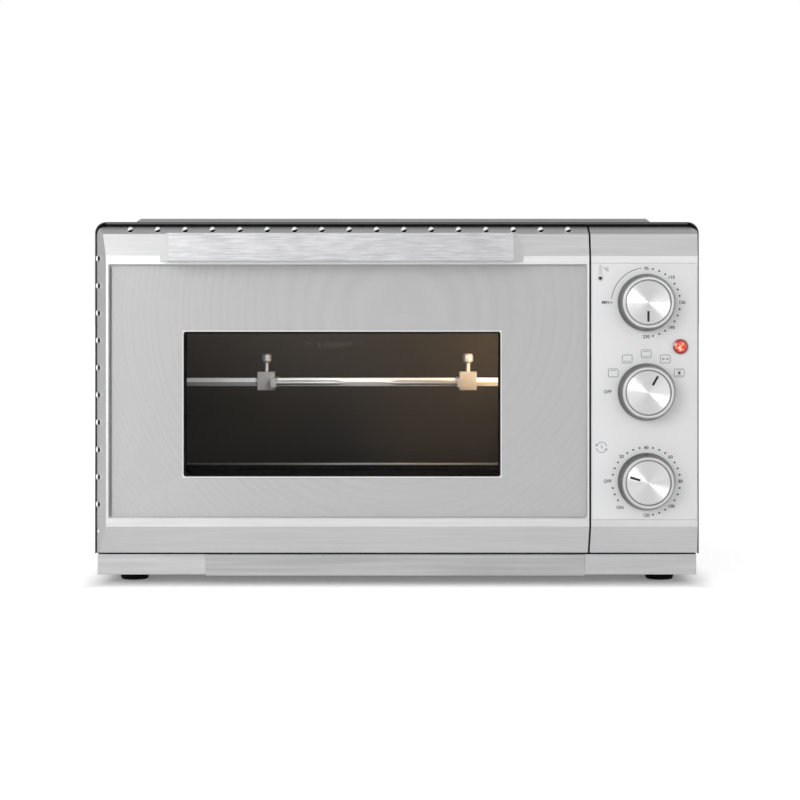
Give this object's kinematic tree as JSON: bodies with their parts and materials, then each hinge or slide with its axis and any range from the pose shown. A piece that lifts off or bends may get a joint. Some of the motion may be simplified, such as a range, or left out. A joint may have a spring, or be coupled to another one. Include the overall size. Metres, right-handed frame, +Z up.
{
  "type": "rotisserie oven",
  "caption": "Countertop rotisserie oven with a drop-down glass door, scoop handle, dials on a side panel and a motor-driven spit with sliding forks.",
  "frame": {"origin": "on the table, under the middle of the box around the whole oven at rest", "axes": "+Z up, front with door and dials facing -Y, +X to the right seen from the front"},
  "size_m": [0.485, 0.38, 0.295],
  "materials": {
    "brushed_steel": "horizontally brushed",
    "shell_grey": "satin grey",
    "galvanised": "zinc coated",
    "cavity_enamel": "dark non-stick coating",
    "panel_silver": "silver lacquer",
    "overlay_white": "satin pale silver with dark printing",
    "knob_metal": "satin, with a spun face",
    "clear_glass": "clear",
    "silver_mask": "silver enamel under glass",
    "black_plastic": "black",
    "rubber": "matt black",
    "steel": "bright steel",
    "red_jewel": "clear red",
    "heating_rod": "heat-tinted",
    "ceramic": "white ceramic",
    "brass": "plain"
  },
  "bodies": {
    "cabinet": {"outer_shell": "shell_grey", "base_pan": "brushed_steel", "rear_panel": "galvanised", "front_frame": "galvanised", "oven_cavity": "cavity_enamel", "heat_shield": "galvanised", "tray_runners": "cavity_enamel", "drip_tray": "cavity_enamel", "upper_elements": "heating_rod", "lower_elements": "heating_rod", "element_insulators": "ceramic", "spit_support": "steel", "spit_gearbox": "galvanised", "spit_motor": "brass", "lamp_housing": "galvanised", "lamp_bulb": "ceramic", "lamp_cover": "clear_glass", "control_fascia": "panel_silver", "control_overlay": "overlay_white", "control_bracket": "galvanised", "thermostat_unit": "ceramic", "function_switch": "black_plastic", "timer_unit": "brass", "timer_bell": "brass", "indicator_lens": "red_jewel", "indicator_holder": "black_plastic", "terminal_block": "ceramic", "cord_gland": "black_plastic", "hinge_brackets": "galvanised", "feet": "rubber", "foot_screws": "steel", "casing_screws": "steel", "rear_spacers": "black_plastic"},
    "door": {"door_frame": "panel_silver", "door_glass": "clear_glass", "glass_mask": "silver_mask", "window_spacer": "black_plastic", "inner_glass": "clear_glass", "door_inner_panel": "galvanised", "door_screws": "steel", "door_handle": "brushed_steel", "handle_screws": "steel", "hinge_pins": "steel", "hinge_springs": "steel"},
    "thermostat_dial": {"thermostat_knob": "knob_metal", "thermostat_cap": "knob_metal", "thermostat_shaft": "steel"},
    "function_dial": {"function_knob": "knob_metal", "function_cap": "knob_metal", "function_shaft": "steel"},
    "timer_dial": {"timer_knob": "knob_metal", "timer_cap": "knob_metal", "timer_shaft": "steel"},
    "crumb_drawer": {"crumb_tray": "brushed_steel"},
    "spit_drive": {"drive_socket": "steel"},
    "spit": {"spit_rod": "steel"},
    "left_fork_set": {"left_fork": "steel", "left_fork_screw": "steel"},
    "right_fork_set": {"right_fork": "steel", "right_fork_screw": "steel"}
  },
  "joints": [
    {"name": "door_hinge", "type": "hinge", "parent": "cabinet", "child": "door", "pos_m": [-0.0442, -0.158, 0.0435], "axis": [1, 0, 0], "range_deg": [0, 90], "stiffness_Nm_per_rad": 0.6, "springref_deg": -34.38},
    {"name": "thermostat_turn", "type": "hinge", "parent": "cabinet", "child": "thermostat_dial", "pos_m": [0.1976, -0.18, 0.2262], "axis": [0, 1, 0], "range_deg": [-270, 0]},
    {"name": "function_turn", "type": "hinge", "parent": "cabinet", "child": "function_dial", "pos_m": [0.1976, -0.18, 0.15535], "axis": [0, 1, 0], "range_deg": [-120, 30]},
    {"name": "timer_turn", "type": "hinge", "parent": "cabinet", "child": "timer_dial", "pos_m": [0.1976, -0.18, 0.0845], "axis": [0, 1, 0], "range_deg": [-62, 253]},
    {"name": "crumb_tray_slide", "type": "slide", "parent": "cabinet", "child": "crumb_drawer", "axis": [0, -1, 0], "range_m": [0, 0.21]},
    {"name": "drive_turn", "type": "hinge", "parent": "cabinet", "child": "spit_drive", "pos_m": [0.118, -0.0026, 0.157], "axis": [1, 0, 0], "continuous": true},
    {"name": "spit_turn", "type": "hinge", "parent": "cabinet", "child": "spit", "pos_m": [0, -0.0026, 0.157], "axis": [1, 0, 0], "continuous": true},
    {"name": "left_fork_slide", "type": "slide", "parent": "spit", "child": "left_fork_set", "axis": [1, 0, 0], "range_m": [-0.05, 0.015]},
    {"name": "right_fork_slide", "type": "slide", "parent": "spit", "child": "right_fork_set", "axis": [1, 0, 0], "range_m": [-0.015, 0.035]}
  ],
  "couplings": [
    {"joint": "drive_turn", "follows": "spit_turn", "ratio": 1}
  ]
}
